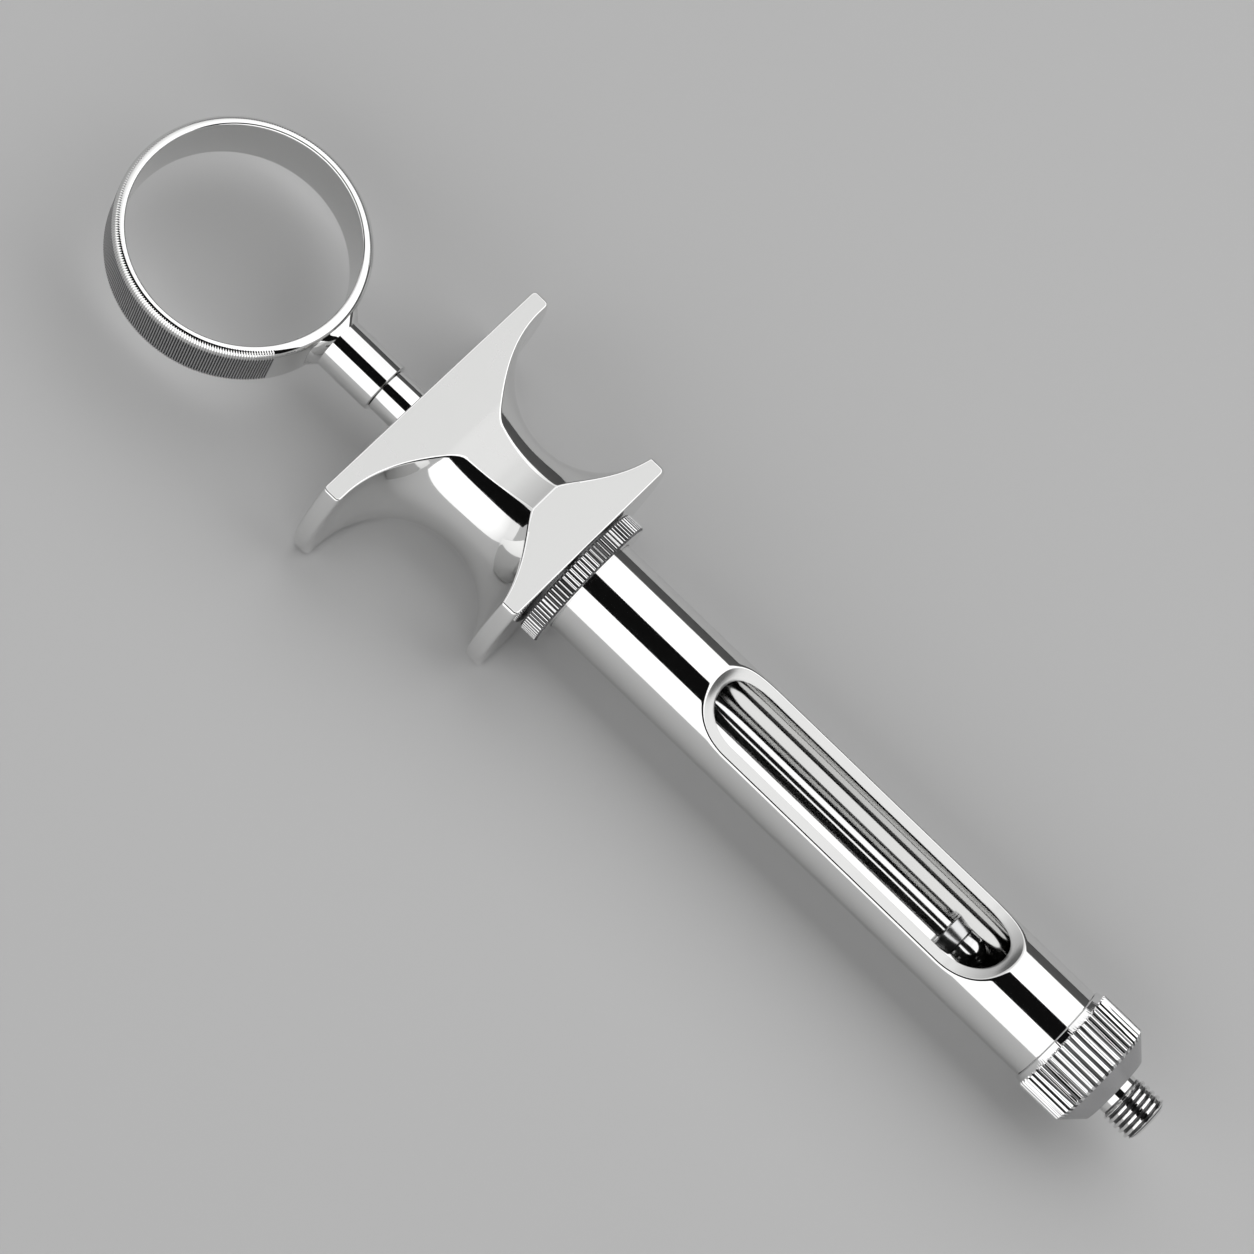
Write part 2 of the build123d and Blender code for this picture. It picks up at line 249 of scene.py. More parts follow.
def turn_up(name, stations, around=192, upright=False, centre=Vector((0, 0, 0))):
    """Turns a piece: a ring is extruded from station to station, each (place along the axis, radius)."""
    bpy.ops.object.select_all(action="DESELECT")
    along, radius = stations[0]
    place = centre + (Vector((0, 0, along)) if upright else Vector((along, 0, 0)))
    tip = (0, 0, 0) if upright else (0, pi / 2, 0)
    bpy.ops.mesh.primitive_circle_add(vertices=around, radius=radius, location=place, rotation=tip)
    piece = bpy.context.object
    piece.name = name
    bpy.ops.object.transform_apply(location=True, rotation=True, scale=True)
    bpy.ops.object.mode_set(mode="EDIT")
    bpy.ops.mesh.select_all(action="SELECT")
    for next_along, next_radius in stations[1:]:
        step = next_along - along
        move = (0, 0, step) if upright else (step, 0, 0)
        bpy.ops.mesh.extrude_region_move(TRANSFORM_OT_translate={"value": move})
        if next_radius == 0:
            bpy.ops.mesh.merge(type="CENTER")
            break
        grow = next_radius / radius
        size = (grow, grow, 1) if upright else (1, grow, grow)
        bpy.ops.transform.resize(value=size, center_override=centre)
        along, radius = next_along, next_radius
    bpy.ops.object.mode_set(mode="OBJECT")
    return piece


def pick(*pieces):
    """Selects some pieces and nothing else, and makes the last of them active."""
    bpy.ops.object.select_all(action="DESELECT")
    for piece in pieces:
        piece.select_set(True)
    bpy.context.view_layer.objects.active = pieces[-1]


def close_up(piece, smallest=0.0005 * mm):
    """Merges the seams, caps what is open and turns the faces outwards."""
    pick(piece)
    bpy.ops.object.mode_set(mode="EDIT")
    bpy.ops.mesh.select_all(action="SELECT")
    bpy.ops.mesh.remove_doubles(threshold=smallest)
    bpy.ops.mesh.fill_holes(sides=0)
    bpy.ops.mesh.select_all(action="SELECT")
    bpy.ops.mesh.normals_make_consistent(inside=False)
    bpy.ops.object.mode_set(mode="OBJECT")
    return piece


def apply_modifiers(piece):
    """Applies every modifier of a piece in its order."""
    pick(piece)
    for modifier in list(piece.modifiers):
        bpy.ops.object.modifier_apply(modifier=modifier.name)


def ease_edges(piece, width, sharper_than=30, steps=2):
    """Rounds every edge that is sharper than an angle, and shades the piece by its broad faces."""
    pick(piece)
    bpy.ops.object.shade_smooth()
    bevel = piece.modifiers.new("eased_edges", "BEVEL")
    bevel.width = width
    bevel.segments = steps
    bevel.limit_method = "ANGLE"
    bevel.angle_limit = radians(sharper_than)
    shade = piece.modifiers.new("broad_shading", "WEIGHTED_NORMAL")
    shade.keep_sharp = True
    apply_modifiers(piece)
    return piece


def select_vertices(piece, wanted):
    """Selects the vertices for which wanted(place) is true, and nothing else, in edit mode."""
    bpy.context.view_layer.objects.active = piece
    bpy.ops.object.mode_set(mode="EDIT")
    bpy.ops.mesh.select_mode(type="VERT")
    bpy.ops.mesh.select_all(action="DESELECT")
    mesh = bmesh.from_edit_mesh(piece.data)
    for vertex in mesh.verts:
        vertex.select = bool(wanted(vertex.co))
    mesh.select_flush(True)
    bmesh.update_edit_mesh(piece.data)


def paint_faces(piece, material, wanted):
    """Gives a second finish to the faces for which wanted(centre) is true."""
    piece.data.materials.append(material)
    index = len(piece.data.materials) - 1
    for face in piece.data.polygons:
        if wanted(face.center):
            face.material_index = index


# What all the metals share: a trace of polishing haze and fine marks from handling. Each finish has
# its own amount of both, from the mirror outside to the dull knurl.
def handling_marks():
    """A node group of what wear adds to a finish: haze, fine scratches and a slight tone."""
    group = bpy.data.node_groups.new("handling_marks", "ShaderNodeTree")
    for name, default in (("Haze", 0.06), ("Scratches", 0.3), ("Size", 1.0)):
        socket = group.interface.new_socket(name, in_out="INPUT", socket_type="NodeSocketFloat")
        socket.default_value = default
    for name in ("Roughness", "Height", "Tone"):
        group.interface.new_socket(name, in_out="OUTPUT", socket_type="NodeSocketFloat")
    inside = group.nodes
    join = group.links.new
    given = inside.new("NodeGroupInput")
    result = inside.new("NodeGroupOutput")
    place = inside.new("ShaderNodeTexCoord")
    scaled = inside.new("ShaderNodeVectorMath")
    scaled.operation = "SCALE"
    join(place.outputs["Object"], scaled.inputs[0])
    join(given.outputs["Size"], scaled.inputs["Scale"])
    cloud = inside.new("ShaderNodeTexNoise")
    cloud.inputs["Scale"].default_value = 160
    cloud.inputs["Detail"].default_value = 5
    join(scaled.outputs["Vector"], cloud.inputs["Vector"])
    stretch = inside.new("ShaderNodeMapping")
    stretch.inputs["Scale"].default_value = (260, 2600, 2600)
    stretch.inputs["Rotation"].default_value = (0.3, 0.2, 0.5)
    join(scaled.outputs["Vector"], stretch.inputs["Vector"])
    scratch = inside.new("ShaderNodeTexNoise")
    scratch.inputs["Scale"].default_value = 1.0
    scratch.inputs["Detail"].default_value = 3
    join(stretch.outputs["Vector"], scratch.inputs["Vector"])
    thin = inside.new("ShaderNodeMapRange")
    thin.inputs["From Min"].default_value = 0.62
    thin.inputs["From Max"].default_value = 0.7
    join(scratch.outputs["Fac"], thin.inputs["Value"])
    rough = inside.new("ShaderNodeMath")
    rough.operation = "MULTIPLY_ADD"
    join(cloud.outputs["Fac"], rough.inputs[0])
    join(given.outputs["Haze"], rough.inputs[1])
    join(given.outputs["Haze"], rough.inputs[2])
    marks = inside.new("ShaderNodeMath")
    marks.operation = "MULTIPLY"
    join(thin.outputs["Result"], marks.inputs[0])
    join(given.outputs["Scratches"], marks.inputs[1])
    total = inside.new("ShaderNodeMath")
    total.operation = "MULTIPLY_ADD"
    total.inputs[1].default_value = 0.08
    join(marks.outputs["Value"], total.inputs[0])
    join(rough.outputs["Value"], total.inputs[2])
    join(total.outputs["Value"], result.inputs["Roughness"])
    join(marks.outputs["Value"], result.inputs["Height"])
    join(cloud.outputs["Fac"], result.inputs["Tone"])
    return group


marks_group = handling_marks()


def metal(name, light_tone, dark_tone, haze, scratches, bump=0.02):
    """A metal with its own tones, haze and handling marks."""
    made = bpy.data.materials.new(name)
    made.use_nodes = True
    inside = made.node_tree.nodes
    join = made.node_tree.links.new
    shader = inside["Principled BSDF"]
    shader.inputs["Metallic"].default_value = 1.0
    marks = inside.new("ShaderNodeGroup")
    marks.node_tree = marks_group
    marks.inputs["Haze"].default_value = haze
    marks.inputs["Scratches"].default_value = scratches
    tint = inside.new("ShaderNodeMix")
    tint.data_type = "RGBA"
    tint.inputs["A"].default_value = dark_tone + (1.0,)
    tint.inputs["B"].default_value = light_tone + (1.0,)
    join(marks.outputs["Tone"], tint.inputs["Factor"])
    join(tint.outputs["Result"], shader.inputs["Base Color"])
    join(marks.outputs["Roughness"], shader.inputs["Roughness"])
    raised = inside.new("ShaderNodeBump")
    raised.inputs["Strength"].default_value = bump
    raised.inputs["Distance"].default_value = 0.01 * mm
    raised.invert = True
    join(marks.outputs["Height"], raised.inputs["Height"])
    join(raised.outputs["Normal"], shader.inputs["Normal"])
    return made


mirror_steel = metal("mirror_steel", (0.78, 0.78, 0.775), (0.74, 0.74, 0.735), 0.035, 0.5)

quarter = [radians(90 * i / round_steps) for i in range(round_steps + 1)]
half_profile = [(ring_half - inner_round * (1 - sin(t)), ring_inner + inner_round * (1 - cos(t)))
                for t in quarter]
half_profile += [(ring_half - outer_round * (1 - cos(t)), ring_outer - outer_round * (1 - sin(t)))
                 for t in quarter]
profile = half_profile + [(-along, radius) for along, radius in reversed(half_profile)] + [half_profile[0]]
line_columns = ring_lines * line_points
line_step = 2 * pi / line_columns
thumb_ring = turn_up("thumb_ring_body", profile, around=line_columns, upright=True, centre=ring_centre)


def in_a_line(place):
    """True on every fourth column of the band's outside, away from the stem."""
    arm = place - ring_centre
    if arm.xy.length < ring_outer - line_run_in * outer_round:
        return False
    angle = atan2(arm.y, arm.x)
    return abs(angle) > plain_angle and round(angle / line_step) % line_points == 0


def on_the_knurl(centre):
    """True for a face of the knurled wall, its crests and grooves alike."""
    arm = centre - ring_centre
    knurled = abs(atan2(arm.y, arm.x)) > plain_angle
    return knurled and abs(centre.z) < ring_half - outer_round and arm.xy.length > ring_outer - line_depth


def between_lines(centre):
    """True for a face of the wall sloping into a groove, its middle half way down; it gets painted shade.
    """
    down = (ring_outer - (centre - ring_centre).xy.length) / line_depth
    return abs(centre.z) < ring_half - outer_round and 0.2 < down < 0.8


close_up(thumb_ring)
select_vertices(thumb_ring, in_a_line)
sunk = 1 - line_depth / ring_outer
bpy.ops.transform.resize(value=(sunk, sunk, 1), center_override=ring_centre)
bpy.ops.object.mode_set(mode="OBJECT")
# A dark steel painted where shade falls: knurl groove bottoms, thread roots and the gap behind the collar.
painted_shade_steel = metal("painted_shade_steel", (0.17, 0.17, 0.172), (0.11, 0.11, 0.112), 0.2, 0.4)
# A darker dull steel: the thumb ring knurl's own dull finish, and painted shade on the hub nut's cone.
dull_and_shade_steel = metal("dull_and_shade_steel", (0.5, 0.5, 0.505), (0.42, 0.42, 0.425), 0.16, 0.3)
thumb_ring.data.materials.append(mirror_steel)
paint_faces(thumb_ring, dull_and_shade_steel, on_the_knurl)
# The grooves' sloping faces are painted dark: painted shade in the knurl lines.
paint_faces(thumb_ring, painted_shade_steel, between_lines)
bpy.ops.object.shade_smooth_by_angle(angle=radians(28))

stem_start = ring_centre.x + ring_outer - ring_wall / 2
ferrule = turn_up("ferrule", [
    (stem_start, ferrule_radius),
    (ring_high.x, ferrule_radius),
    (ring_high.x, ferrule_hole),
    (ring_high.x - tapped_depth, ferrule_hole),
    (ring_high.x - tapped_depth, 0),
], around=160)
ease_edges(close_up(ferrule), ferrule_edge, steps=3)

gusset_rear = ring_centre.x + sqrt((ring_outer - ring_wall / 2) ** 2 - gusset_spread ** 2)
gusset_front = ring_centre.x + ring_outer + gusset_root
bpy.ops.object.select_all(action="DESELECT")
bpy.ops.mesh.primitive_circle_add(
    vertices=64, radius=ferrule_radius, location=(gusset_front, 0, 0), rotation=(0, pi / 2, 0))
gusset = bpy.context.object
bpy.ops.object.transform_apply(location=True, rotation=True, scale=True)
bpy.ops.object.mode_set(mode="EDIT")
bpy.ops.mesh.primitive_plane_add(size=1, location=(gusset_rear, 0, 0), rotation=(0, pi / 2, 0))
bpy.ops.transform.resize(value=(1, 2 * gusset_spread, 2 * gusset_half), center_override=(gusset_rear, 0, 0))
bpy.ops.mesh.select_all(action="SELECT")
bpy.ops.mesh.convex_hull()
bpy.ops.object.mode_set(mode="OBJECT")
ease_edges(gusset, gusset_edge, sharper_than=20, steps=3)

for part in (gusset, ferrule):
    part.data.materials.append(mirror_steel)
pick(gusset, ferrule, thumb_ring)
bpy.ops.object.join()
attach(thumb_ring, "thumb_loop")
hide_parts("thumb_ring")

# The stop sleeve: a short tube on the rod's tail, which meets the grip when the plunger is fully
# pressed. It is turned from stainless bar, polished, and held between the ring's ferrule and the
# rod's shoulder.
sleeve_low, sleeve_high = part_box("stop_sleeve")
sleeve_hole = 0.96 * mm
sleeve_edge = 0.12 * mm
stop_sleeve = turn_up("stop_sleeve_body", [
    (sleeve_low.x, sleeve_hole),
    (sleeve_low.x, sleeve_high.y),
    (sleeve_high.x, sleeve_high.y),
    (sleeve_high.x, sleeve_hole),
    (sleeve_low.x, sleeve_hole),
], around=160)
ease_edges(close_up(stop_sleeve), sleeve_edge, steps=3)
stop_sleeve.data.materials.append(mirror_steel)
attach(stop_sleeve, "plunger")
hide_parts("stop_sleeve")

# The plunger rod: a slim round bar of bright drawn steel, with a thinner tail that carries the
# sleeve and screws into the ring's ferrule.
rod_low, rod_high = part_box("plunger_rod")
rod_tail_radius = 0.95 * mm
rod_edge = 0.06 * mm
plunger_rod = turn_up("plunger_rod_body", [
    (rod_low.x, rod_tail_radius),
    (sleeve_high.x, rod_tail_radius),
    (sleeve_high.x, rod_high.y),
    (rod_high.x, rod_high.y),
], around=96)
ease_edges(close_up(plunger_rod), rod_edge)
bright_bar = metal("bright_bar", (0.7, 0.7, 0.7), (0.64, 0.64, 0.64), 0.09, 0.2)
plunger_rod.data.materials.append(bright_bar)
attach(plunger_rod, "plunger")
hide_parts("plunger_rod")

# The piston disc: a slightly tapered steel collar that bears on the cartridge's stopper. It is
# turned, left with its tool marks, and clamped between the rod and the harpoon.
disc_low, disc_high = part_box("piston_disc")
disc_edge = 0.15 * mm
disc_burr = 0.04 * mm
disc_front_radius = 1.72 * mm
disc_hole = 0.61 * mm
piston_disc = turn_up("piston_disc_body", [
    (disc_low.x, disc_hole),
    (disc_low.x, disc_high.y - disc_edge),
    (disc_low.x + disc_edge, disc_high.y),
    (disc_high.x - disc_edge, disc_front_radius),
    (disc_high.x, disc_front_radius - disc_edge),
    (disc_high.x, disc_hole),
    (disc_low.x, disc_hole),
], around=128)
ease_edges(close_up(piston_disc), disc_burr)
turned_steel = metal("turned_steel", (0.6, 0.6, 0.605), (0.5, 0.5, 0.505), 0.16, 0.4)
piston_disc.data.materials.append(turned_steel)
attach(piston_disc, "plunger")
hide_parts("piston_disc")

# The harpoon: a rounded steel barb on a screwed stem, turned in one and fixed through the disc. It
# holds the cartridge's stopper when the plunger is drawn.
harpoon_low, harpoon_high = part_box("harpoon")
stem_radius = 0.6 * mm
root_radius = 1.5 * mm
dome_radius = 1.65 * mm
dome_start = disc_high.x + 1.1 * mm
dome_steps = 14
barb_edge = 0.05 * mm
dome = [(harpoon_low.x, stem_radius), (disc_high.x, stem_radius), (disc_high.x, root_radius)]
for i in range(dome_steps):
    swing = radians(90 * i / dome_steps)
    dome.append((dome_start + (harpoon_high.x - dome_start) * sin(swing), dome_radius * cos(swing)))
dome.append((harpoon_high.x, 0))
harpoon = turn_up("harpoon_body", dome, around=128)
ease_edges(close_up(harpoon), barb_edge)
harpoon.data.materials.append(bright_bar)
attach(harpoon, "plunger")
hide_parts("harpoon")

# The finger grip: one spool turned from stainless bar, with a wide rear flange and a smaller front one
# round a hollow for the fingers, milled flat on both sides and dished at the waist. It is mirror
# polished where it is turned, and satin on the flats.
grip_low, grip_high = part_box("finger_grip")
rear_flange = grip_high.y
front_flange = 13.4 * mm
flange_round = 0.45 * mm
flange_steps = 8
grip_edge = 0.2 * mm
waist = 6.63 * mm
waist_x = grip_high.x - 10.3 * mm
rear_hollow = 9.57 * mm
front_hollow = 8.68 * mm
flat_height = grip_high.z
dish_radius = 9.6 * mm
dish_floor = 6.33 * mm
dish_x = grip_high.x - 10.7 * mm
dish_blend = 5.0 * mm
dish_reach = sqrt(dish_radius ** 2 - (dish_floor + dish_radius - flat_height) ** 2)
lobe_points = 32
flat_points = 8
hollow_steps = 40
bush_hole = 4.01 * mm
chamber_hole = 4.9 * mm
collar_hole = 6.6 * mm
corner_turn = radians(70)
packing_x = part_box("rod_packing")[1].x
socket_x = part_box("barrel")[0].x


def wrap(name, rows):
    """Lays a grid over rows of points, one row a station, for forms that no turned ring has."""
    bpy.ops.object.select_all(action="DESELECT")
    bpy.ops.mesh.primitive_grid_add(x_subdivisions=len(rows[0]) - 1, y_subdivisions=len(rows) - 1, size=1)
    piece = bpy.context.object
    piece.name = name
    for vertex, point in zip(piece.data.vertices, [point for row in rows for point in row]):
        vertex.co = point
    return piece


def flat_at(x):
    """Height of the milled flat over the axis: level, blended into the dish, and crisp in front of it."""
    centre_z = dish_floor + dish_radius
    blend_z = flat_height - dish_blend
    blend_off = sqrt((dish_radius + dish_blend) ** 2 - (centre_z - blend_z) ** 2)
    blend_end = blend_off * dish_radius / (dish_radius + dish_blend)
    off = x - dish_x
    if off < -blend_off or off > dish_reach:
        return flat_height
    if off < -blend_end:
        return blend_z + sqrt(dish_blend ** 2 - (off + blend_off) ** 2)
    return centre_z - sqrt(dish_radius ** 2 - off ** 2)


def grip_row(x, radius, flat):
    """One section of the grip: round lobes at both sides, flats above and below."""
    edge = asin(min(1, flat / radius))
    quarter = [edge * i / lobe_points for i in range(lobe_points + 1)]
    points = [(radius * cos(t), radius * sin(t)) for t in quarter]
    half_flat = radius * cos(edge)
    points += [(half_flat * (1 - i / flat_points), flat) for i in range(1, flat_points + 1)]
    right_top = points
    left_top = [(-y, z) for y, z in reversed(points)][1:]
    under = [(y, -z) for y, z in reversed(right_top + left_top)][1:]
    return [(x, y, z) for y, z in right_top + left_top + under]


rear_z = waist + rear_hollow
front_z = waist + front_hollow
rear_face = waist_x - rear_hollow
front_reach = sqrt(front_hollow ** 2 - (front_z - front_flange) ** 2)
front_end = asin(front_reach / front_hollow)
rim_turns = [radians(90 * i / flange_steps) for i in range(flange_steps + 1)]
spool = [(grip_low.x, rear_flange - flange_round)]
spool += [(grip_low.x + flange_round * (1 - cos(t)), rear_flange - flange_round * (1 - sin(t)))
          for t in rim_turns[1:]]
spool += [(rear_face - flange_round * (1 - sin(t)), rear_flange - flange_round * (1 - cos(t)))
          for t in rim_turns]
for i in range(1, hollow_steps + 1):
    t = radians(90) * (1 - i / hollow_steps)
    spool.append((waist_x - rear_hollow * sin(t), rear_z - rear_hollow * cos(t)))
front_turns = [front_end * i / hollow_steps for i in range(1, hollow_steps + 1)]
crisp_turn = asin((dish_x + dish_reach - waist_x) / front_hollow)
nearest = min(range(hollow_steps), key=lambda i: abs(front_turns[i] - crisp_turn))
front_turns[nearest] = crisp_turn
spool += [(waist_x + front_hollow * sin(t), front_z - front_hollow * cos(t)) for t in front_turns]
spool.append((grip_high.x - flange_round, front_flange))
spool += [(grip_high.x - flange_round * (1 - sin(t)), front_flange - flange_round * (1 - cos(t)))
          for t in rim_turns[1:]]
rows = [grip_row(x, radius, flat_at(x)) for x, radius in spool]
bores = [
    (grip_high.x, collar_hole), (socket_x, collar_hole), (socket_x, chamber_hole),
    (packing_x, chamber_hole), (packing_x, bush_hole), (grip_low.x, bush_hole),
]
turns = [atan2(z, y) for x, y, z in grip_row(0, chamber_hole, chamber_hole * sin(corner_turn))]
for x, radius in bores:
    rows.append([(x, radius * cos(t), radius * sin(t)) for t in turns])
rows.append(rows[0])
finger_grip = wrap("finger_grip_body", rows)
close_up(finger_grip)
bpy.ops.object.mode_set(mode="EDIT")
bpy.ops.mesh.select_mode(type="FACE")
bpy.ops.mesh.select_all(action="DESELECT")
bpy.ops.object.mode_set(mode="OBJECT")
level = [abs(abs(vertex.co.z) - flat_height) < 1e-8 for vertex in finger_grip.data.vertices]
for face in finger_grip.data.polygons:
    face.select = all(level[i] for i in face.vertices)
bpy.ops.object.mode_set(mode="EDIT")
bpy.ops.mesh.dissolve_limited(angle_limit=radians(0.2))
bpy.ops.mesh.select_mode(type="VERT")
bpy.ops.object.mode_set(mode="OBJECT")
ease_edges(finger_grip, grip_edge, sharper_than=12, steps=4)
flat_steel = metal("flat_steel", (0.54, 0.54, 0.535), (0.5, 0.5, 0.495), 0.17, 0.1)


def on_a_flat(centre):
    """True for a face of the milled flats or of their dish."""
    return abs(abs(centre.z) - flat_at(centre.x)) < 0.004 * mm


finger_grip.data.materials.append(mirror_steel)
paint_faces(finger_grip, flat_steel, on_a_flat)
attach(finger_grip, "grip")
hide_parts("finger_grip")

# Inside the grip and the hub, kept as they are in the frame: the plated brass guide bush, the brass
# packing nut, the white packing ring, the follower with its coil spring, the snap ring that holds it,
# the collar's washer and the hub's rubber gasket.
turned_brass = metal("turned_brass", (0.72, 0.55, 0.27), (0.62, 0.46, 0.22), 0.16, 0.8)
plated_brass = metal("plated_brass", (0.68, 0.67, 0.64), (0.6, 0.59, 0.56), 0.12, 0.6)
satin_steel = metal("satin_steel", (0.66, 0.66, 0.67), (0.56, 0.56, 0.57), 0.2, 0.8)
drawn_steel = metal("drawn_steel", (0.55, 0.55, 0.56), (0.45, 0.45, 0.46), 0.18, 0.8)


def soft_stuff(name, light_tone, dark_tone, roughness, grain):
    """A plain moulded plastic or rubber with a fine grain."""
    made = bpy.data.materials.new(name)
    made.use_nodes = True
    inside = made.node_tree.nodes
    join = made.node_tree.links.new
    shader = inside["Principled BSDF"]
    place = inside.new("ShaderNodeTexCoord")
    grains = inside.new("ShaderNodeTexNoise")
    grains.inputs["Scale"].default_value = grain
    grains.inputs["Detail"].default_value = 4
    tint = inside.new("ShaderNodeMix")
    tint.data_type = "RGBA"
    tint.inputs["A"].default_value = dark_tone + (1.0,)
    tint.inputs["B"].default_value = light_tone + (1.0,)
    shader.inputs["Roughness"].default_value = roughness
    raised = inside.new("ShaderNodeBump")
    raised.inputs["Strength"].default_value = 0.2
    raised.inputs["Distance"].default_value = 0.02 * mm
    join(place.outputs["Object"], grains.inputs["Vector"])
    join(grains.outputs["Fac"], tint.inputs["Factor"])
    join(tint.outputs["Result"], shader.inputs["Base Color"])
    join(grains.outputs["Fac"], raised.inputs["Height"])
    join(raised.outputs["Normal"], shader.inputs["Normal"])
    return made


packing_white = soft_stuff("packing_white", (0.84, 0.84, 0.82), (0.76, 0.76, 0.74), 0.45, 3000)
gasket_black = soft_stuff("gasket_black", (0.03, 0.03, 0.03), (0.02, 0.02, 0.02), 0.55, 4000)
kept_pieces = {
    "guide_bush": ("bearing_brass", plated_brass),
    "packing_nut": ("bearing_brass", turned_brass),
    "rod_packing": ("packing_plastic", packing_white),
    "follower_spring": ("spring_steel", drawn_steel),
    "retaining_ring": ("spring_steel", drawn_steel),
    "cartridge_follower": ("satin_steel", satin_steel),
    "collar_washer": ("satin_steel", satin_steel),
    "hub_gasket": ("gasket_rubber", gasket_black),
}
for node, (slot, material) in kept_pieces.items():
    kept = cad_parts[node]
    kept.data.materials.clear()
    kept.data.materials.append(material)

# The collar nut: a thin knurled ring in one with a threaded sleeve, turned from steel. It screws into
# the front of the grip and holds the barrel's flange there over a thin washer.
collar_low, collar_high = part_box("collar_nut")
collar_rear = grip_high.x + 0.2 * mm
collar_radius = 7.7 * mm
collar_hole_radius = 5.6 * mm
collar_sleeve = 6.55 * mm
collar_ridges = 90
collar_points = 8
collar_depth = 0.2 * mm
collar_edge = 0.2 * mm
collar_profile = [
    (collar_low.x, collar_hole_radius),
    (collar_low.x, collar_sleeve),
    (collar_rear, collar_sleeve),
    (collar_rear, collar_radius - collar_edge),
    (collar_rear + collar_edge, collar_radius),
    (collar_high.x - collar_edge, collar_radius),
    (collar_high.x, collar_radius - collar_edge),
    (collar_high.x, collar_hole_radius),
    (collar_low.x, collar_hole_radius),
]
collar_nut = turn_up("collar_nut_body", collar_profile, around=collar_ridges * collar_points)
close_up(collar_nut)


def sink_grooves(piece, radius, depth, ridges, points, groove):
    """Cuts straight knurl grooves into a turned band: the columns in each groove move inwards."""
    step = 2 * pi / (ridges * points)
    for column, share in groove.items():
        def in_groove(place):
            arm = sqrt(place.y ** 2 + place.z ** 2)
            index = round(atan2(place.z, place.y) / step) % points
            return abs(arm - radius) < 0.002 * mm and index == column
        select_vertices(piece, in_groove)
        sunk = 1 - depth * share / radius
        bpy.ops.transform.resize(value=(1, sunk, sunk), center_override=(0, 0, 0))
        bpy.ops.object.mode_set(mode="OBJECT")


collar_grooves = {0: 0.4, 2: 0.15, 3: 0.75, 4: 1.0, 5: 0.75, 6: 0.15}
sink_grooves(collar_nut, collar_radius, collar_depth, collar_ridges, collar_points, collar_grooves)
bpy.ops.object.shade_smooth_by_angle(angle=radians(25))
knurl_steel = metal("knurl_steel", (0.82, 0.82, 0.82), (0.76, 0.76, 0.76), 0.04, 0.4)
collar_nut.data.materials.append(knurl_steel)


def deep_in(radius, depth, share, rear):
    """A test for faces deep in the grooves of a knurl, in front of a place on the axis, for painted shade.
    """
    def deep(centre):
        arm = sqrt(centre.y ** 2 + centre.z ** 2)
        return centre.x > rear and radius - 1.2 * depth < arm < radius - share * depth
    return deep


def on_the_sleeve(centre):
    """True for a face of the collar's threaded sleeve, painted dark as the shade in the gap behind the
    knurl.
    """
    return centre.x < collar_rear + 0.001 * mm


# Painted shade: the grooves' bottoms and the sleeve in the gap behind the knurl are painted dark.
paint_faces(collar_nut, painted_shade_steel, deep_in(collar_radius, collar_depth, 0.4, collar_rear))
paint_faces(collar_nut, painted_shade_steel, on_the_sleeve)
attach(collar_nut, "collar")
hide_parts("collar_nut")

# The barrel: a steel tube for the glass cartridge, with a flange in the grip and a nose in the hub nut.
# Its window is one flat milled cut whose ends run out in the cutter's radius. Mirror polished outside,
# honed in the bore.
barrel_low, barrel_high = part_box("barrel")
barrel_radius = 5.5 * mm
bore_radius = 4.5 * mm
flange_radius = barrel_high.y
flange_front = barrel_low.x + 1.2 * mm
nose_radius = 5.15 * mm
nut_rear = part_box("hub_nut")[0].x
shoulder = nut_rear - 0.05 * mm
window_front = nut_rear - 7.8 * mm
window_rear = window_front - 40.3 * mm
window_height = 2.95 * mm
run_out = 8.0 * mm
window_steps = 132
barrel_around = 144
rim_steps = 4
edge_width = 0.2 * mm
edge_steps = 6
barrel_edge = 0.08 * mm
near_window = 1.0 * mm
far_window = 3.0 * mm

rise = barrel_radius - window_height
reach = sqrt(run_out ** 2 - (run_out - rise) ** 2)


def cut_height(x):
    """Height of the cut over the axis: level, and rising along the cutter's radius at both ends."""
    off = max(window_rear + reach - x, x - window_front + reach, 0)
    return window_height + run_out - sqrt(max(run_out ** 2 - off ** 2, 0))


def cut_edge(i, radius, drop=0.0):
    """Point i where the cut, lowered by a drop, meets a round wall: place on the axis, height."""
    rise_here = radius + drop - window_height
    far = sqrt(run_out ** 2 - (run_out - rise_here) ** 2)
    share = (1 - cos(pi * i / window_steps)) / 2
    x = window_rear + reach - far + share * (window_front - window_rear - 2 * reach + 2 * far)
    return x, min(radius, cut_height(x) - drop)


def wall_row(x, radius, opening=0.0):
    """One ring of a wall, open at the top by the opening's angle on each side."""
    turns = [opening + (2 * pi - 2 * opening) * i / barrel_around for i in range(barrel_around + 1)]
    return [(x, radius * sin(t), radius * cos(t)) for t in turns]


outer = [wall_row(x, r) for x, r in (
    (barrel_low.x, bore_radius), (barrel_low.x, flange_radius), (flange_front, flange_radius),
    (flange_front, barrel_radius), (window_rear - far_window, barrel_radius),
    (window_rear - near_window, barrel_radius))]
for i in range(window_steps + 1):
    x, height = cut_edge(i, barrel_radius, edge_width)
    outer.append(wall_row(x, barrel_radius, acos(height / barrel_radius)))
outer += [wall_row(x, r) for x, r in (
    (window_front + near_window, barrel_radius), (window_front + far_window, barrel_radius),
    (shoulder, barrel_radius), (shoulder, nose_radius), (barrel_high.x, nose_radius),
    (barrel_high.x, bore_radius))]
inner = [wall_row(barrel_low.x, bore_radius), wall_row(window_rear, bore_radius)]
for i in range(window_steps + 1):
    x, height = cut_edge(i, bore_radius)
    inner.append(wall_row(x, bore_radius, acos(height / bore_radius)))
inner += [wall_row(window_front, bore_radius), wall_row(barrel_high.x, bore_radius)]


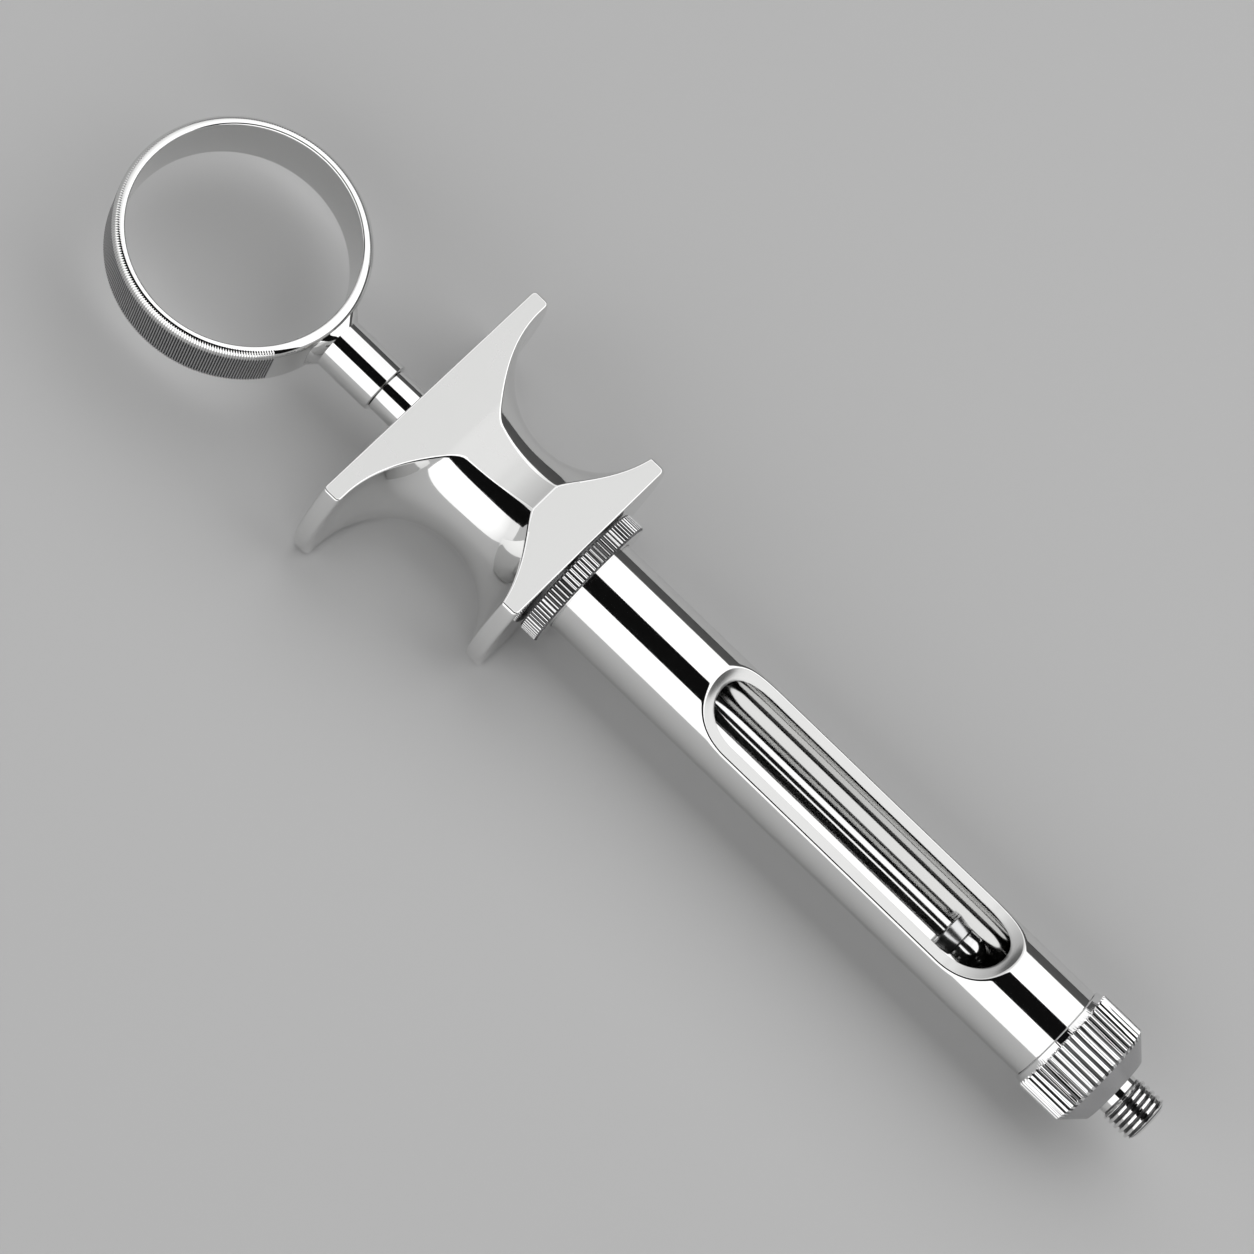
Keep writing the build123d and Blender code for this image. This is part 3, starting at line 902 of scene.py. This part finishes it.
def rim_row(i, way):
    """Points across the cut's rim: round its outer edge, then over the flat to the bore."""
    corners = []
    inset = barrel_radius - edge_width
    for radius, drop in ((barrel_radius, edge_width), (barrel_radius, 0), (inset, 0), (bore_radius, 0)):
        x, height = cut_edge(i, radius, drop)
        corners.append(Vector((x, way * radius * sin(acos(height / radius)), height)))
    wall, corner, flat, hole = corners
    points = []
    for k in range(edge_steps):
        share = k / edge_steps
        points.append(wall * (1 - share) ** 2 + corner * 2 * share * (1 - share) + flat * share ** 2)
    for k in range(rim_steps + 1):
        point = flat.lerp(hole, k / rim_steps)
        points.append((point.x, point.y, cut_height(point.x)))
    return points


rim_rows = [rim_row(i, 1) for i in range(window_steps + 1)]
rim_rows += [rim_row(i, -1) for i in range(window_steps, -1, -1)]
barrel = wrap("barrel_body", outer)
bore = wrap("bore_wall", inner)
rim = wrap("window_rim", rim_rows)
pick(rim, bore, barrel)
bpy.ops.object.join()
close_up(barrel)
ease_edges(barrel, barrel_edge, sharper_than=25)
milled_steel = metal("milled_steel", (0.56, 0.56, 0.555), (0.5, 0.5, 0.495), 0.13, 0.3)
honed_steel = metal("honed_steel", (0.72, 0.72, 0.715), (0.68, 0.68, 0.675), 0.04, 0.0)


def on_the_rim(centre):
    """True for a face of the window's milled rim."""
    inside = window_rear < centre.x < window_front
    return inside and centre.z > 0 and abs(centre.z - cut_height(centre.x)) < 0.006 * mm


def on_the_bore(centre):
    """True for a face of the honed bore."""
    return sqrt(centre.y ** 2 + centre.z ** 2) < bore_radius + 0.001 * mm


barrel.data.materials.append(mirror_steel)
paint_faces(barrel, honed_steel, on_the_bore)
paint_faces(barrel, milled_steel, on_the_rim)
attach(barrel, "cartridge_barrel")
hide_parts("barrel")

# The needle adaptor: the threaded steel tip that takes the needle's hub, in one with the flange that
# the hub nut clamps. It is turned and drilled through, and its thread is cut with a single point.
adaptor_low, adaptor_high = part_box("needle_adaptor")
thread_pitch = 0.66 * mm
thread_crest = 2.65 * mm
thread_root = 2.25 * mm
thread_rear = -1.65 * mm
thread_front = 1.65 * mm
thread_fullness = 1.85
flank_slope = 4.4
neck_radius = 2.32 * mm
tip_radius = 1.85 * mm
passage = 0.8 * mm
adaptor_flange_x = adaptor_low.x + 1.0 * mm
shank_radius = 2.7 * mm
nut_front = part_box("hub_nut")[1].x
neck_rear = nut_front - 0.05 * mm
neck_front = thread_rear - 0.1 * mm
root_margin = 0.12 * mm
thread_around = 96
thread_rows = 90


def thread_radius_at(x, angle):
    """Radius of the thread: a ridge with a broad flat crest that climbs once in each turn."""
    phase = (x / thread_pitch - angle / (2 * pi)) % 1
    ridge = min(1, max(0, thread_fullness - abs(phase - 0.5) * flank_slope))
    fade_in = min(1, max(0, (x - thread_rear) / (0.5 * thread_pitch)))
    radius = thread_root + (thread_crest - thread_root) * ridge * fade_in
    into_chamfer = max(0, x - thread_front) / (adaptor_high.x - thread_front)
    return min(radius, thread_crest - into_chamfer * (thread_crest - tip_radius))


thread_turns = [2 * pi * i / thread_around for i in range(thread_around + 1)]
plain_rows = [(adaptor_low.x, passage), (adaptor_low.x, adaptor_high.y), (adaptor_flange_x, adaptor_high.y),
              (adaptor_flange_x, shank_radius), (neck_rear, shank_radius), (neck_rear, neck_radius),
              (neck_front, neck_radius)]
rows = [[(x, r * cos(t), r * sin(t)) for t in thread_turns] for x, r in plain_rows]
for i in range(thread_rows + 1):
    x = thread_rear + (adaptor_high.x - thread_rear) * i / thread_rows
    radii = [thread_radius_at(x, t) for t in thread_turns]
    rows.append([(x, r * cos(t), r * sin(t)) for r, t in zip(radii, thread_turns)])
rows.append([(adaptor_high.x, passage * cos(t), passage * sin(t)) for t in thread_turns])
rows.append(rows[0])
needle_adaptor = wrap("needle_adaptor_body", rows)
close_up(needle_adaptor)
bpy.ops.object.shade_smooth_by_angle(angle=radians(32))
needle_adaptor.data.materials.append(mirror_steel)


def in_the_root(centre):
    """True for a face at the bottom of the needle thread, which gets painted shade."""
    arm = sqrt(centre.y ** 2 + centre.z ** 2)
    return centre.x > thread_rear and neck_radius - 0.1 * mm < arm < thread_root + root_margin


# The thread's roots are painted dark: painted shade between the crests.
paint_faces(needle_adaptor, painted_shade_steel, in_the_root)
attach(needle_adaptor, "adaptor")
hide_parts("needle_adaptor")

# The hub nut: a knurled union nut turned from steel, with a plain lip behind its ridges and a smooth
# cone in front. It screws on to the barrel's nose and clamps the needle adaptor on its gasket.
hub_low, hub_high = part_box("hub_nut")
nut_radius = hub_high.y
nut_ridges = 48
nut_points = 12
nut_depth = 0.3 * mm
lip_front = hub_low.x + 0.9 * mm
lip_radius = 5.62 * mm
lip_edge = 0.14 * mm
lip_slope = 0.12 * mm
lip_rise = 0.2 * mm
cone_edge = 0.05 * mm
cone_rear = hub_high.x - 2.15 * mm
cone_tip_radius = nut_radius - 2.15 * mm
cavity_front = hub_high.x - 2.05 * mm
cavity_radius = 5.2 * mm
nut_hole = 2.75 * mm
nut_profile = [
    (hub_low.x, cavity_radius),
    (hub_low.x, lip_radius),
    (hub_low.x + lip_slope, lip_radius + lip_edge),
    (lip_front - lip_rise, nut_radius - lip_edge),
    (lip_front, nut_radius),
    (cone_rear, nut_radius),
    (cone_rear + nut_depth, nut_radius - nut_depth),
    (cone_rear + nut_depth + cone_edge, nut_radius - nut_depth - cone_edge),
    (hub_high.x, cone_tip_radius),
    (hub_high.x, nut_hole),
    (cavity_front, nut_hole),
    (cavity_front, cavity_radius),
    (hub_low.x, cavity_radius),
]
hub_nut = turn_up("hub_nut_body", nut_profile, around=nut_ridges * nut_points)
close_up(hub_nut)
nut_grooves = {0: 0.3, 1: 0.12, 3: 0.15, 4: 0.55, 5: 0.93, 6: 1.0, 7: 0.93, 8: 0.55, 9: 0.15, 11: 0.12}
sink_grooves(hub_nut, nut_radius, nut_depth, nut_ridges, nut_points, nut_grooves)
bpy.ops.object.shade_smooth_by_angle(angle=radians(25))
hub_nut.data.materials.append(knurl_steel)
# The bottoms of the ridges' grooves are painted dark as shade.
paint_faces(hub_nut, painted_shade_steel, deep_in(nut_radius, nut_depth, 0.65, lip_front))


def on_the_cone(centre):
    """True for a face of the nut's smooth conical front."""
    return centre.x > cone_rear + nut_depth


# The cone gets the darker dull steel: its satin finish is real, and its darker tone is painted shade.
paint_faces(hub_nut, dull_and_shade_steel, on_the_cone)
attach(hub_nut, "hub")
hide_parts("hub_nut")
